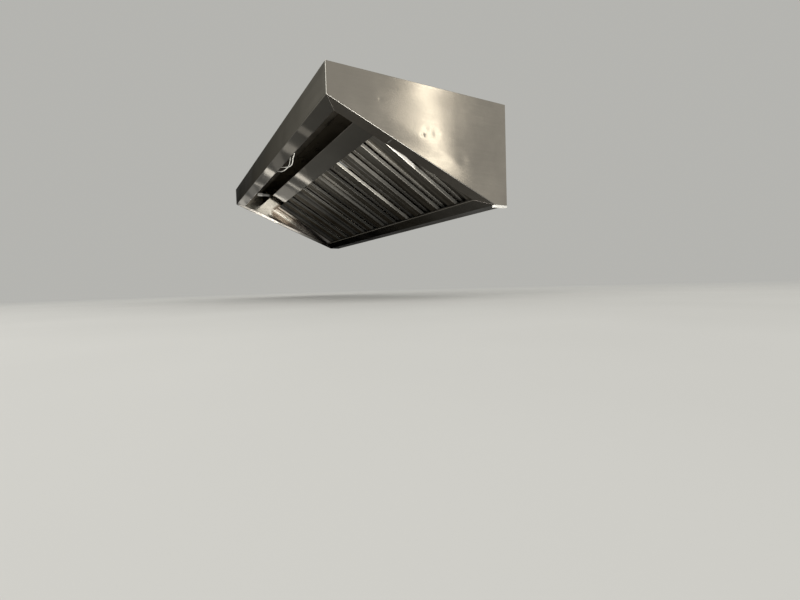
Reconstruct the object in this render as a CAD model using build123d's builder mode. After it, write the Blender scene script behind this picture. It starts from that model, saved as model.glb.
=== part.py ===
"""Stainless steel exhaust hood with baffle filters, for a small mobile kitchen.

Frame, in millimetres: X runs along the hood, Y from the front lip (-Y) to the wall (+Y), Z is up.
The origin lies on the top face, in the middle of the four hanger bolts. All of the underside slopes
down towards the wall, at one angle, and the filters lie above it at a steeper angle, so grease runs
down them into the gutter along the wall.
"""

from build123d import *
from math import atan2, cos, degrees, hypot, radians, sin, tan
import os

os.makedirs("parts", exist_ok=True)

# Housing
hood_length = 1800.0
hood_depth = 720.0
lip_height = 100.0
back_height = 385.0
gutter_depth = 60.0
sheet = 1.5
bend_radius = 3.0

# Rim of the underside
front_rim = 50.0
end_rim = 60.0
gutter_rim = 60.0
front_hem = 12.0
gutter_hem = 8.0
gutter_upturn = 25.0
corner_radius = 1.2

# Filters
filter_count = 4
filter_gap = 2.0
filter_length = 495.0
filter_thickness = 32.0
filter_slope = 32.5
filter_start = 74.0
far_blank_width = 142.0
frame_sheet = 1.2
side_border = 28.0
end_border = 25.0
baffles_per_filter = 3
baffle_sheet = 1.0
baffle_web = 50.0
back_baffle_web = 55.0
baffle_row_gap = 2.0
baffle_lip = 4.0
baffle_radius = 2.0
drain_slot_length = 24.0
drain_slot_width = 6.0
drain_slots = 2

# Rails and blanks that hold the filters
seat_gap = 0.3
lower_cover = 32.0
upper_cover = 35.0
band_width = 85.0
band_slope = 27.0
lift_room = 12.0
rail_grip = 30.0
stop_height = 18.0
stop_foot = 20.0
plenum_flange = 20.0
blank_return = 20.0

# Services
bolt_spacing_x = 1500.0
bolt_spacing_y = 560.0
bolt_hole_radius = 5.5
duct_radius = 125.0
duct_wall = 1.2
duct_height = 60.0
duct_flange = 20.0
duct_y = 85.0
cap_width = 16.0
cap_drop = 8.0
cap_fillet = 2.5
gland_from_far_end = 210.0
gland_above_band = 20.0
gland_body_radius = 8.0
gland_body_length = 38.0
gland_cap_radius = 9.0
gland_cap_length = 36.0
terminal_length = 24.0
terminal_width = 18.0
terminal_height = 9.0
terminal_fillet = 1.0
terminal_setback = 23.0
terminal_near_x = 410.0
terminal_far_x = -28.0
port_spacing = 8.0
lead_radius = 2.0
lead_sides = 6
lead_straight = 15.0

# Worked out from the sizes above
half_length = hood_length / 2
half_inside = half_length - sheet
front_y = -hood_depth / 2
back_y = hood_depth / 2
rim_run = hood_depth - gutter_depth
rim_drop = back_height - lip_height
rim_length = hypot(rim_run, rim_drop)
rim_angle = atan2(rim_drop, rim_run)
filter_angle = radians(filter_slope)
band_angle = radians(band_slope)
hem_at = rim_length - gutter_rim
filters_end = hood_length - far_blank_width
filter_spacing = (filters_end - filter_start) / filter_count
filter_width = filter_spacing - filter_gap


def rim_point(along, above):
    """(Y, Z) of a point on the sloped underside: along it from the lip, and above it, into the hood."""
    y = front_y + along * cos(rim_angle) + above * sin(rim_angle)
    z = -lip_height - along * sin(rim_angle) + above * cos(rim_angle)
    return (y, z)


# The filters rest on the inner corner of the gutter's hem and run on behind it by lower_cover.
hem_y, hem_z = rim_point(hem_at + sheet, gutter_hem)
foot_y = hem_y + seat_gap * sin(filter_angle) + lower_cover * cos(filter_angle)
foot_z = hem_z + seat_gap * cos(filter_angle) - lower_cover * sin(filter_angle)
steeper = filter_angle - rim_angle
foot_above_rim = gutter_hem + seat_gap * cos(steeper) - lower_cover * sin(steeper)


def filter_point(up, deep):
    """(Y, Z) of a point in the filters' plane: up it from their lower end, and deep into the hood."""
    y = foot_y - up * cos(filter_angle) + deep * sin(filter_angle)
    z = foot_z + up * sin(filter_angle) + deep * cos(filter_angle)
    return (y, z)


rim_plane = Plane(
    origin=(0, front_y, -lip_height),
    x_dir=(1, 0, 0),
    z_dir=(0, sin(rim_angle), cos(rim_angle)),
)


def filter_plane(x):
    """The front face of a filter: local Y runs up the slope and local Z into the hood."""
    return Plane(
        origin=(x, *filter_point(0, 0)),
        x_dir=(-1, 0, 0),
        z_dir=(0, sin(filter_angle), cos(filter_angle)),
    )


def across_plane(x, up):
    """A plane square to the slope: local X is the hood's X and local Y runs into the hood."""
    return Plane(
        origin=(x, *filter_point(up, 0)),
        x_dir=(1, 0, 0),
        z_dir=(0, -cos(filter_angle), sin(filter_angle)),
    )


def folded_section(plane, path, thickness, radius, side):
    """The section of a sheet folded along a path of its outer face."""
    with BuildSketch(plane) as section:
        with BuildLine():
            FilletPolyline(*path, radius=radius)
            offset(amount=thickness, side=side, kind=Kind.INTERSECTION)
        make_face()
    return section.sketch


def finish(part, name):
    """Labels a finished piece and writes its file."""
    part.label = name
    export_step(part, f"parts/{name}.step")


# Top panel: flat sheet let in between the walls, with the duct's hole and the hanger holes
with BuildPart() as top_panel:
    with BuildSketch(Plane.XY.offset(-sheet)):
        Rectangle(2 * half_inside, hood_depth - 2 * sheet)
        with GridLocations(bolt_spacing_x, bolt_spacing_y, 2, 2):
            Circle(bolt_hole_radius, mode=Mode.SUBTRACT)
        with Locations((0, duct_y)):
            Circle(duct_radius - duct_wall, mode=Mode.SUBTRACT)
    extrude(amount=sheet)
finish(top_panel.part, "top_panel")

# Front fascia: upright lip, folded in along the slope, with an upturned hem
fascia_path = [
    (front_y, 0),
    (front_y, -lip_height),
    rim_point(front_rim, 0),
    rim_point(front_rim, front_hem),
]
with BuildPart() as front_fascia:
    extrude(
        folded_section(Plane.YZ.offset(-half_inside), fascia_path, sheet, bend_radius, Side.LEFT),
        amount=2 * half_inside,
    )
    with BuildSketch(rim_plane.offset(-sheet)):
        with BuildLine():
            Polyline(
                (half_length, 0),
                (half_length - end_rim, front_rim),
                (half_length - end_rim, front_rim + sheet),
                (half_length + sheet, front_rim + sheet),
                (half_length + sheet, 0),
                close=True,
            )
        make_face()
        mirror(about=Plane.YZ)
    extrude(amount=front_hem + 2 * sheet, mode=Mode.SUBTRACT)
finish(front_fascia.part, "front_fascia")

# Grease gutter: hem, sloped front wall, flat floor and an upturn against the back panel
gutter_path = [
    rim_point(hem_at, gutter_hem),
    rim_point(hem_at, 0),
    rim_point(rim_length, 0),
    (back_y - sheet, -back_height),
    (back_y - sheet, -back_height + gutter_upturn),
]
with BuildPart() as grease_gutter:
    extrude(
        folded_section(Plane.YZ.offset(-half_inside), gutter_path, sheet, bend_radius, Side.LEFT),
        amount=2 * half_inside,
    )
    with BuildSketch(rim_plane.offset(-sheet)):
        with BuildLine():
            Polyline(
                (half_length - end_rim, hem_at),
                (half_length, rim_length),
                (half_length + sheet, rim_length),
                (half_length + sheet, hem_at - sheet),
                (half_length - end_rim, hem_at - sheet),
                close=True,
            )
        make_face()
        mirror(about=Plane.YZ)
    extrude(amount=gutter_hem + 2 * sheet, mode=Mode.SUBTRACT)
finish(grease_gutter.part, "grease_gutter")

# Back panel: plain sheet against the wall, with the gutter's upturn on its inside
with BuildPart() as back_panel:
    with BuildSketch(Plane.XZ.offset(-back_y)):
        Rectangle(2 * half_inside, back_height, align=(Align.CENTER, Align.MAX))
    extrude(amount=sheet)
finish(back_panel.part, "back_panel")

# End panels: five-sided plates with a mitred rim folded in along the slope
# Columns: name, side of the hood
end_panels = [("end_panel_near", 1), ("end_panel_far", -1)]
for name, way in end_panels:
    with BuildPart() as end_panel:
        with BuildSketch(Plane.YZ.offset(way * half_inside)):
            with BuildLine():
                Polyline(
                    (front_y, 0),
                    (front_y, -lip_height),
                    rim_point(rim_length, 0),
                    (back_y, -back_height),
                    (back_y, 0),
                    close=True,
                )
            make_face()
        extrude(amount=way * sheet)
        mitre_start = sheet * front_rim / end_rim
        mitre_end = rim_length - sheet * gutter_rim / end_rim
        with BuildSketch(rim_plane):
            with BuildLine():
                Polyline(
                    (way * half_inside, mitre_start),
                    (way * (half_length - end_rim), front_rim),
                    (way * (half_length - end_rim), hem_at),
                    (way * half_inside, mitre_end),
                    close=True,
                )
            make_face()
        extrude(amount=sheet)
        outer_face = end_panel.faces().sort_by(Axis.X)[-1 if way > 0 else 0]
        fillet(outer_face.edges(), corner_radius)
    finish(end_panel.part, name)

# Plenum front: the upper filter band, the inner wall over it and a flange under the top panel
band_outer = -seat_gap - sheet
band_back = filter_point(filter_length - upper_cover, band_outer)
band_front = (
    band_back[0] - band_width * cos(band_angle),
    band_back[1] + band_width * sin(band_angle),
)
plenum_path = [
    band_back,
    band_front,
    (band_front[0], -sheet),
    (band_front[0] + plenum_flange, -sheet),
]
with BuildPart() as plenum_front:
    extrude(
        folded_section(Plane.YZ.offset(-half_inside), plenum_path, sheet, bend_radius, Side.RIGHT),
        amount=2 * half_inside,
    )
finish(plenum_front.part, "plenum_front")

# Upper rail: a hook over the filters' upper ends, with room above them to lift a filter out
rail_up = filter_length + lift_room
rail_deep = filter_thickness + seat_gap + sheet
flatter = filter_angle - band_angle
band_inner = band_outer + sheet / cos(flatter)
rail_foot = band_inner - (rail_up - filter_length + upper_cover) * tan(flatter)
rail_path = [
    filter_point(rail_up + sheet, rail_foot),
    filter_point(rail_up + sheet, rail_deep),
    filter_point(rail_up + sheet - lift_room - rail_grip, rail_deep),
]
with BuildPart() as upper_rail:
    extrude(
        folded_section(Plane.YZ.offset(-half_inside), rail_path, sheet, bend_radius, Side.RIGHT),
        amount=2 * half_inside,
    )
finish(upper_rail.part, "upper_rail")

# Lower rail: an angle inside the gutter, whose upright leg stops the filters' lower ends
stop_deep = (sheet - foot_above_rim) / cos(steeper)
stop_foot_at = rim_length - gutter_rim + sheet + lower_cover + stop_foot
stop_path = [
    rim_point(stop_foot_at, sheet),
    filter_point(0, stop_deep),
    filter_point(0, stop_height),
]
with BuildPart() as lower_rail:
    extrude(
        folded_section(Plane.YZ.offset(-half_inside), stop_path, sheet, bend_radius, Side.RIGHT),
        amount=2 * half_inside,
    )
finish(lower_rail.part, "lower_rail")

# Blanks that close the filters' plane beside the first and the last filter
# Columns: name, start and end along the hood from its near end
blanks = [
    ("blank_near", sheet + seat_gap, filter_start),
    ("blank_far", filters_end, hood_length - sheet - seat_gap),
]
for name, start, end in blanks:
    middle = half_length - (start + end) / 2
    half_width = (end - start) / 2
    blank_path = [
        (-half_width, blank_return),
        (-half_width, 0),
        (half_width, 0),
        (half_width, blank_return),
    ]
    with BuildPart() as blank:
        extrude(
            folded_section(
                across_plane(middle, 0), blank_path, frame_sheet, baffle_radius, Side.LEFT
            ),
            amount=filter_length,
        )
    finish(blank.part, name)

# Filters: a hollow frame with two rows of folded baffles between its front and back borders.
# The rows face each other and are half a step apart, so the gaps of one lie over the webs of the
# other, and the air turns twice on its way through.
opening_width = filter_width - 2 * side_border
opening_length = filter_length - 2 * end_border
baffle_depth = (filter_thickness - baffle_row_gap) / 2 - frame_sheet
baffle_length = filter_length - 2 * frame_sheet
front_baffles = baffles_per_filter - 1
gap_width = (opening_width - front_baffles * baffle_web) / baffles_per_filter
baffle_step = baffle_web + gap_width


def baffle_path(web, deep_web, deep_lip):
    """A channel open to one side: its web lies at deep_web and its lips lie at deep_lip."""
    half = web / 2
    return [
        (-half + baffle_lip, deep_lip),
        (-half, deep_lip),
        (-half, deep_web),
        (half, deep_web),
        (half, deep_lip),
        (half - baffle_lip, deep_lip),
    ]


front_path = baffle_path(baffle_web, frame_sheet, frame_sheet + baffle_depth)
back_path = baffle_path(
    back_baffle_web,
    filter_thickness - frame_sheet,
    filter_thickness - frame_sheet - baffle_depth,
)
baffle_radii = [0, baffle_radius, baffle_radius, 0]
front_places = [(k - (front_baffles - 1) / 2) * baffle_step for k in range(front_baffles)]
back_places = [(k - (baffles_per_filter - 1) / 2) * baffle_step for k in range(baffles_per_filter)]

# Columns: name, path of the section, places across the filter, side of the path the sheet lies on
baffle_rows = [
    ("front_baffles", front_path, front_places, Side.LEFT),
    ("back_baffles", back_path, back_places, Side.RIGHT),
]
for number in range(1, filter_count + 1):
    middle = half_length - filter_start - filter_spacing * (number - 0.5)
    front = filter_plane(middle)
    from_end = (Align.CENTER, Align.MIN)
    with BuildPart() as frame:
        with BuildSketch(front):
            Rectangle(filter_width, filter_length, align=from_end)
        extrude(amount=filter_thickness)
        with BuildSketch(front.offset(frame_sheet)):
            with Locations((0, frame_sheet)):
                Rectangle(filter_width - 2 * frame_sheet, baffle_length, align=from_end)
        extrude(amount=filter_thickness - 2 * frame_sheet, mode=Mode.SUBTRACT)
        with BuildSketch(front):
            with Locations((0, end_border)):
                Rectangle(opening_width, opening_length, align=from_end)
        extrude(amount=filter_thickness, mode=Mode.SUBTRACT)
        with BuildSketch(front):
            for way in (-1, 1):
                with Locations((way * (opening_width + frame_sheet) / 2, frame_sheet)):
                    Rectangle(frame_sheet, baffle_length, align=from_end)
        extrude(amount=frame_sheet + baffle_depth)
        with BuildSketch(across_plane(middle, 0)):
            with Locations((0, filter_thickness / 2)):
                with GridLocations(filter_width / (drain_slots + 1), 0, drain_slots, 1):
                    SlotOverall(drain_slot_length, drain_slot_width)
        extrude(amount=frame_sheet, mode=Mode.SUBTRACT)
    finish(frame.part, f"filter_{number}_frame")

    for row, path, places, side in baffle_rows:
        with BuildPart() as baffles:
            for place in places:
                extrude(
                    folded_section(
                        across_plane(middle + place, frame_sheet),
                        path,
                        baffle_sheet,
                        baffle_radii,
                        side,
                    ),
                    amount=baffle_length,
                )
        finish(baffles.part, f"filter_{number}_{row}")

# Duct collar: a round spigot with a flange that lies on the top panel
with BuildPart() as duct_collar:
    with BuildSketch():
        with Locations((0, duct_y)):
            Circle(duct_radius + duct_flange)
            Circle(duct_radius - duct_wall, mode=Mode.SUBTRACT)
    extrude(amount=sheet)
    with BuildSketch(Plane.XY.offset(sheet)):
        with Locations((0, duct_y)):
            Circle(duct_radius)
            Circle(duct_radius - duct_wall, mode=Mode.SUBTRACT)
    extrude(amount=duct_height - sheet)
finish(duct_collar.part, "duct_collar")

# Gutter end cap: a small rounded bar under the gutter's near end
with BuildPart() as gutter_cap:
    with BuildSketch(Plane.XZ.offset(-back_y)):
        with Locations((half_length, -back_height)):
            Rectangle(cap_width, cap_drop, align=(Align.MAX, Align.MAX))
    extrude(amount=gutter_depth)
    fillet(gutter_cap.edges().group_by(Axis.Z)[0], cap_fillet)
finish(gutter_cap.part, "gutter_cap")

# Lamp gland: on the inner wall near the far end, where the lamp's leads come out
gland_plane = Plane(
    origin=(-half_length + gland_from_far_end, band_front[0], band_front[1] + gland_above_band),
    x_dir=(1, 0, 0),
    z_dir=(0, -1, 0),
)
with BuildPart() as lamp_gland:
    with BuildSketch(gland_plane):
        Circle(gland_body_radius)
    extrude(amount=gland_body_length)
    with BuildSketch(gland_plane.offset(gland_body_length)):
        Circle(gland_cap_radius)
    extrude(amount=gland_cap_length)
finish(lamp_gland.part, "lamp_gland")

# Lead terminals: two small blocks on the front rim, hidden by its hem
# Columns: name, X of the face that the leads go into, way that this face looks along X
terminals = [
    ("terminal_near", terminal_near_x, -1),
    ("terminal_far", terminal_far_x, 1),
]
for name, face_x, way in terminals:
    with BuildPart() as terminal:
        with BuildSketch(rim_plane.offset(sheet)):
            with Locations((face_x - way * terminal_length / 2, front_rim - terminal_setback)):
                Rectangle(terminal_length, terminal_width)
        extrude(amount=terminal_height)
        fillet(terminal.faces().sort_by(Axis.Z)[-1].edges(), terminal_fillet)
    finish(terminal.part, name)

# Lamp leads: two loose wires from one terminal to the other, over the hem and hanging in a loop.
# A point is X, the way behind the hem's top along the slope, and the height above the hem's top.
port_height = sheet + terminal_height / 2 - front_hem
inner_port = (port_spacing / 2 - terminal_setback, port_height)
outer_port = (-port_spacing / 2 - terminal_setback, port_height)
# Columns: name, port at the far terminal, points between the terminals, port at the near terminal
leads = [
    (
        "lamp_lead_1",
        outer_port,
        [
            (35, -25.0, -6.0),
            (74, -12.0, 5.0),
            (107, 3.8, 5.0),
            (145, 14.0, -2.0),
            (198, 21.6, -12.0),
            (242, 24.4, -17.0),
            (271, 22.0, -16.0),
            (287, 17.3, -11.0),
            (303, 10.0, -2.0),
            (324, 8.3, 5.0),
            (346, -2.0, 7.0),
            (370, -14.0, 2.0),
        ],
        inner_port,
    ),
    (
        "lamp_lead_2",
        inner_port,
        [
            (10, -9.0, 6.0),
            (27, 3.5, 6.0),
            (57, 12.4, 0.0),
            (92, 19.2, -5.0),
            (136, 22.9, -6.0),
            (168, 24.6, -2.0),
            (200, 21.2, 0.0),
            (220, 16.6, 1.0),
            (257, 8.4, 6.0),
            (280, -3.0, 8.0),
            (308, -16.0, 2.0),
            (345, -26.0, -6.0),
        ],
        outer_port,
    ),
]


def lead_radii(points):
    """The largest bend at each point that leaves its two runs a tenth of their length straight."""
    radii = []
    for before, corner, after in zip(points, points[1:], points[2:]):
        run_in = Vector(corner) - Vector(before)
        run_out = Vector(after) - Vector(corner)
        half_turn = radians(run_in.get_angle(run_out)) / 2
        radii.append(0.45 * min(run_in.length, run_out.length) / tan(half_turn))
    return radii


for name, first_port, between, last_port in leads:
    stations = [
        (terminal_far_x, *first_port),
        (terminal_far_x + lead_straight, *first_port),
        *between,
        (terminal_near_x - lead_straight, *last_port),
        (terminal_near_x, *last_port),
    ]
    points = [(x, *rim_point(front_rim + a, front_hem + b)) for x, a, b in stations]
    radii = lead_radii(points)
    print(name, "bend radii", [round(radius, 1) for radius in radii])
    with BuildPart() as lead:
        with BuildLine() as route:
            FilletPolyline(*points, radius=radii)
        with BuildSketch(Plane(origin=points[0], x_dir=(0, 1, 0), z_dir=(1, 0, 0))):
            RegularPolygon(lead_radius, lead_sides)
        sweep()
    finish(lead.part, name)
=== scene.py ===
"""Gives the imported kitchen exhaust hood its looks: brushed steel, weld beads, leads, light and camera.

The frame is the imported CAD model, in metres: X along the hood towards its near end, Y towards its
back, Z up, with the origin on the top face. Every piece is placed in that frame.
"""

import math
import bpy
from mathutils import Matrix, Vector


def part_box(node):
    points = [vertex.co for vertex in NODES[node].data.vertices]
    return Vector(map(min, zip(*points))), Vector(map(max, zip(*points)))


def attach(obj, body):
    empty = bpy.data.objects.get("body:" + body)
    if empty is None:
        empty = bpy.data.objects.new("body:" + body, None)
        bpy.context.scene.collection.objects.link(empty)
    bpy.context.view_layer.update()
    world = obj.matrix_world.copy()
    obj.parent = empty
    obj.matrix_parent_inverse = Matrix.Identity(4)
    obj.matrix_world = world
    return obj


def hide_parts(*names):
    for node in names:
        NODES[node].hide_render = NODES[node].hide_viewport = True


bl_info = {
    "name": "Kitchen exhaust hood",
    "version": (1, 0, 0),
    "blender": (4, 5, 0),
    "location": "View3D > Sidebar > Hood",
    "description": "Finishes, welds and wiring for a sloped exhaust hood with baffle filters",
    "category": "Object",
}

import bpy
import numpy as np
from bpy.props import FloatProperty, FloatVectorProperty, IntProperty, PointerProperty
from bpy.types import Operator, Panel, PropertyGroup
from mathutils import Matrix, Vector

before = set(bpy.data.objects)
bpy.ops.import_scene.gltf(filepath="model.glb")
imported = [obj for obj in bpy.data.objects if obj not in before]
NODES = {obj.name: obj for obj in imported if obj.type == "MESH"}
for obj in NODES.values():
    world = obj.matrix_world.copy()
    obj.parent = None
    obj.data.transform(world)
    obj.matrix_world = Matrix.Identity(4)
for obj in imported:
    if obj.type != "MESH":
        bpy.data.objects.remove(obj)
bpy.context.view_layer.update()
MM = 0.001

# The housing's section, as in the part's source
HALF_LENGTH = 0.9
FRONT_Y = -0.36
BACK_Y = 0.36
LIP = 0.1
BACK = 0.385
GUTTER = 0.06
RIM_LENGTH = math.hypot(BACK_Y - FRONT_Y - GUTTER, BACK - LIP)
RIM_ANGLE = math.atan2(BACK - LIP, BACK_Y - FRONT_Y - GUTTER)
FRONT_RIM = 0.05
FRONT_HEM = 0.012
END_RIM = 0.06
GUTTER_RIM = 0.06
DUCT_Y = 0.085
DUCT_RADIUS = 0.125
RIVET_CIRCLE = 0.136
SHEET = 0.0015
FILTER_ANGLE = math.radians(32.5)
# Faces that meet at more than this show a sharp edge
SHARP_ANGLE = math.radians(38)


def rim_point(along, above):
    """(Y, Z) of a point that lies along the sloped underside from the lip, and above it."""
    y = FRONT_Y + along * math.cos(RIM_ANGLE) + above * math.sin(RIM_ANGLE)
    z = -LIP - along * math.sin(RIM_ANGLE) + above * math.cos(RIM_ANGLE)
    return (y, z)


# Sizes and colours


def colour_of(name, description, default):
    return FloatVectorProperty(name=name, description=description, default=default, subtype="COLOR")


def length_of(name, description, default):
    return FloatProperty(name=name, description=description, default=default, subtype="DISTANCE")


def angle_of(name, description, degrees):
    default = math.radians(degrees)
    return FloatProperty(name=name, description=description, default=default, subtype="ANGLE")


class HoodStage(PropertyGroup):
    """Camera, floor and light."""

    lens: FloatProperty(name="Lens", description="Focal length", default=18.78, unit="CAMERA")
    yaw: angle_of("Yaw", "Turn of the view from the hood's length towards its back", 29.36)
    pitch: angle_of("Pitch", "View above level", -1.87)
    roll: angle_of("Roll", "Turn of the picture", -1.63)
    eye: FloatVectorProperty(
        name="Eye", description="Camera's place", default=(2.109, -0.807, -0.685), subtype="XYZ"
    )
    floor_level: length_of("Floor", "Height of the floor", -0.735)
    backdrop: colour_of("Backdrop", "Colour behind the hood", (0.46, 0.458, 0.435))
    floor_colour: colour_of("Floor colour", "Colour of the floor", (0.6, 0.6, 0.58))


class HoodFinish(PropertyGroup):
    """Steel, grease and plastics."""

    end_colour: colour_of("End panels", "Colour of the end panels' steel", (0.47, 0.43, 0.375))
    # The housing's steel is set darker than the end panels', a painted shade of the same steel
    housing_colour: colour_of("Housing", "Colour of the housing's steel", (0.4, 0.378, 0.335))
    # The filters' steel is dark partly from grease and partly from painted shade; the baffle walls are
    # lighter, partly a painted highlight
    filter_colour: colour_of("Filters", "Colour of the filters' steel", (0.17, 0.162, 0.145))
    wall_colour: colour_of("Baffle walls", "Colour of the baffles' folded walls", (0.5, 0.485, 0.44))
    grease_colour: colour_of("Grease", "Colour of the grease on the filters", (0.05, 0.045, 0.037))
    zinc_colour: colour_of("Collar", "Colour of the duct collar", (0.42, 0.43, 0.44))
    white: colour_of("White", "Colour of the white plastic", (0.8, 0.79, 0.74))
    grey: colour_of("Grey", "Colour of the gland and the terminals", (0.4, 0.4, 0.38))
    roughness: FloatProperty(
        name="Roughness",
        description="Roughness of the brushed steel",
        default=0.3,
        min=0.05,
        max=1,
        subtype="FACTOR",
    )


class HoodSizes(PropertyGroup):
    """Sizes of the pieces that are made here."""

    bead_width: length_of("Bead width", "Width of a weld bead", 0.0024)
    bead_height: length_of("Bead height", "Height of a weld bead", 0.0011)
    bead_pitch: length_of("Ripple", "Distance between a bead's ripples", 0.0022)
    skin_bulge: length_of("Bulge", "Waviness of the end panels", 0.0011)
    lead_diameter: length_of("Lead", "Diameter of a lamp lead", 0.004)
    lead_segments: IntProperty(
        name="Lead segments", description="Steps along a lead between two points", default=10, min=2
    )


# Materials


class Nodes:
    """Short calls that build a material's node tree."""

    def __init__(self, name):
        self.material = bpy.data.materials.new(name)
        self.material.use_nodes = True
        self.tree = self.material.node_tree
        self.shader = self.tree.nodes["Principled BSDF"]

    def add(self, kind, links=None, values=None, **settings):
        node = self.tree.nodes.new(kind)
        for key, value in settings.items():
            setattr(node, key, value)
        for key, value in (values or {}).items():
            node.inputs[key].default_value = value
        for key, socket in (links or {}).items():
            self.tree.links.new(socket, node.inputs[key])
        return node

    def place(self, scale=(1, 1, 1), turn=(0, 0, 0)):
        """Object coordinates along axes that are turned, times a scale on each of them."""
        coordinates = self.add("ShaderNodeTexCoord").outputs["Object"]
        sizes = tuple(1 / number for number in scale)
        return self.add(
            "ShaderNodeMapping",
            {"Vector": coordinates},
            {"Scale": sizes, "Rotation": turn},
            vector_type="TEXTURE",
        ).outputs[0]

    def facing(self, axis, sign=None):
        """How far the surface faces along an axis: up it for sign 1, down it for -1, else either way."""
        normal = self.add("ShaderNodeTexCoord").outputs["Normal"]
        part = self.add("ShaderNodeSeparateXYZ", {"Vector": normal}).outputs[axis]
        if sign is None:
            return self.add("ShaderNodeMath", {0: part}, operation="ABSOLUTE").outputs[0]
        return self.span(part, -1.0, 1.0, -sign, sign)

    def coordinate(self, axis, turn=(0, 0, 0)):
        """The object coordinate along one axis, of axes that are turned."""
        return self.add("ShaderNodeSeparateXYZ", {"Vector": self.place(turn=turn)}).outputs[axis]

    def noise(self, vector, scale, detail=3, rough=0.5):
        values = {"Scale": scale, "Detail": detail, "Roughness": rough}
        return self.add("ShaderNodeTexNoise", {"Vector": vector}, values).outputs["Fac"]

    def span(self, socket, low, high, to_low=0.0, to_high=1.0):
        """The value carried from the span low..high to the span to_low..to_high."""
        return self.add(
            "ShaderNodeMapRange",
            {"Value": socket},
            {"From Min": low, "From Max": high, "To Min": to_low, "To Max": to_high},
        ).outputs[0]

    def ramp(self, socket, stops):
        """A grey level read from a table of positions and levels."""
        node = self.add("ShaderNodeValToRGB", {"Fac": socket})
        elements = node.color_ramp.elements
        for position, _ in stops[1:-1]:
            elements.new(position)
        for element, (position, level) in zip(elements, stops):
            element.position = position
            element.color = (level, level, level, 1)
        return node.outputs["Color"]

    def sum(self, a, b):
        return self.add("ShaderNodeMath", {0: a, 1: b}, operation="ADD").outputs[0]

    def times(self, a, b):
        return self.add("ShaderNodeMath", {0: a, 1: b}, operation="MULTIPLY").outputs[0]

    def put(self, value, socket):
        """Links a node's output to a socket, or sets a colour or a number on it."""
        if isinstance(value, bpy.types.NodeSocket):
            self.tree.links.new(value, socket)
        elif hasattr(value, "__len__"):
            socket.default_value = (*value[:3], 1)
        else:
            socket.default_value = value

    def mix(self, factor, a, b):
        """Colour a where the factor is 0 and colour b where it is 1."""
        node = self.add("ShaderNodeMix", {"Factor": factor}, data_type="RGBA")
        self.put(a, node.inputs["A"])
        self.put(b, node.inputs["B"])
        return node.outputs["Result"]

    def finish(self, colour, roughness, height=None, bump=0.3, distance=0.001, **inputs):
        """Gives the shader its colour, roughness and other inputs, and a bump from a height."""
        if height is not None:
            values = {"Strength": bump, "Distance": distance}
            inputs["normal"] = self.add("ShaderNodeBump", {"Height": height}, values).outputs[0]
        for key, value in {"base_color": colour, "roughness": roughness, **inputs}.items():
            self.put(value, self.shader.inputs[key.replace("_", " ").title()])
        return self.material


# How light the walls of the frames and baffles are, a level of painted light on each from shade to
# highlight: X and a level, where 0.5 is the wall colour itself
FRAME_WALL_LIGHT = [(-0.36, 0.28), (0.036, 0.38), (0.432, 0.3), (0.83, 0.4)]
FRONT_WALL_LIGHT = [
    (-0.6, 0.3), (-0.204, 0.4), (-0.074, 0.3), (0.192, 0.1), (0.322, 0.95), (0.588, 0.3), (0.718, 0.6),
]
BACK_WALL_LIGHT = [
    (-0.32, 0.4), (-0.191, 0.35), (-0.061, 0.12), (0.03, 0.12), (0.076, 0.45),
    (0.12, 0.12), (0.472, 0.1), (0.602, 0.3), (0.731, 0.35),
]
# The walls' darkest painted shade, and the colour of the grease film on them
WALL_SHADE, WALL_FILM = (0.01, 0.01, 0.01), (0.02, 0.02, 0.018)
# The colour of the painted highlights of bare steel on a baffle wall and on the far blank
HIGHLIGHT_STEEL = (0.95, 0.92, 0.86)
NUT_COLOUR = (0.85, 0.84, 0.8)
# The baffle wall with a painted highlight of bare steel: the X that it starts at, and the Y that its
# highlight ends at
HIGHLIGHT_X, HIGHLIGHT_Y = (0.706, 0.714), (0.064, 0.05)
# Painted highlights in stripes on the far blank, from the end panel towards the filters: the span of X,
# then a position in it and how bright. They fade out over a span of Z.
BLANK_HIGHLIGHT_X, BLANK_HIGHLIGHT_Z = (-0.9, -0.77), (-0.205, -0.18)
BLANK_HIGHLIGHTS = [
    (0.0, 0.0), (0.08, 0.7), (0.16, 0.7), (0.22, 0.1), (0.3, 1.0),
    (0.56, 1.0), (0.63, 0.0), (0.78, 0.0), (0.84, 0.9), (1.0, 0.9),
]
# A painted reflection of the baffles on an end panel's inner face, behind the front edge of the filters, as
# dark lines: the span of depth square to the filters, then a position in it and how dark. It starts over a
# span of Y, and its colour goes from the first to the second over another.
REFLECTION_DEPTH, REFLECTION_START, REFLECTION_TURNS = (-0.18, -0.16), (-0.137, -0.122), (0.0, 0.1)
BAFFLE_REFLECTION = [(0.0, 1.0), (0.3, 1.0), (0.4, 0.1), (0.52, 0.5), (0.6, 0.05), (1.0, 0.0)]
REFLECTION_COLOURS = (0.2, 0.165, 0.13), (0.4, 0.37, 0.35)
# The far end's rim blackens over these spans of X and Y: what share of its colour is left, and its shine
BLACK_X, BLACK_Y = (0.3, -0.8), (0.0, 0.26)
BLACK_SHARE, BLACK_SHINE = 0.06, (0.12, 0.12, 0.12)


def wall_table(walls):
    """The stops of a ramp that runs along the hood, from a table of X and level."""
    stops = [((x + HALF_LENGTH) / (2 * HALF_LENGTH), level) for x, level in walls]
    return [(0.0, stops[0][1])] + stops + [(1.0, stops[-1][1])]


def shade(colour, factor):
    return tuple(min(1.0, c * factor) for c in colour[:3])


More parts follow.
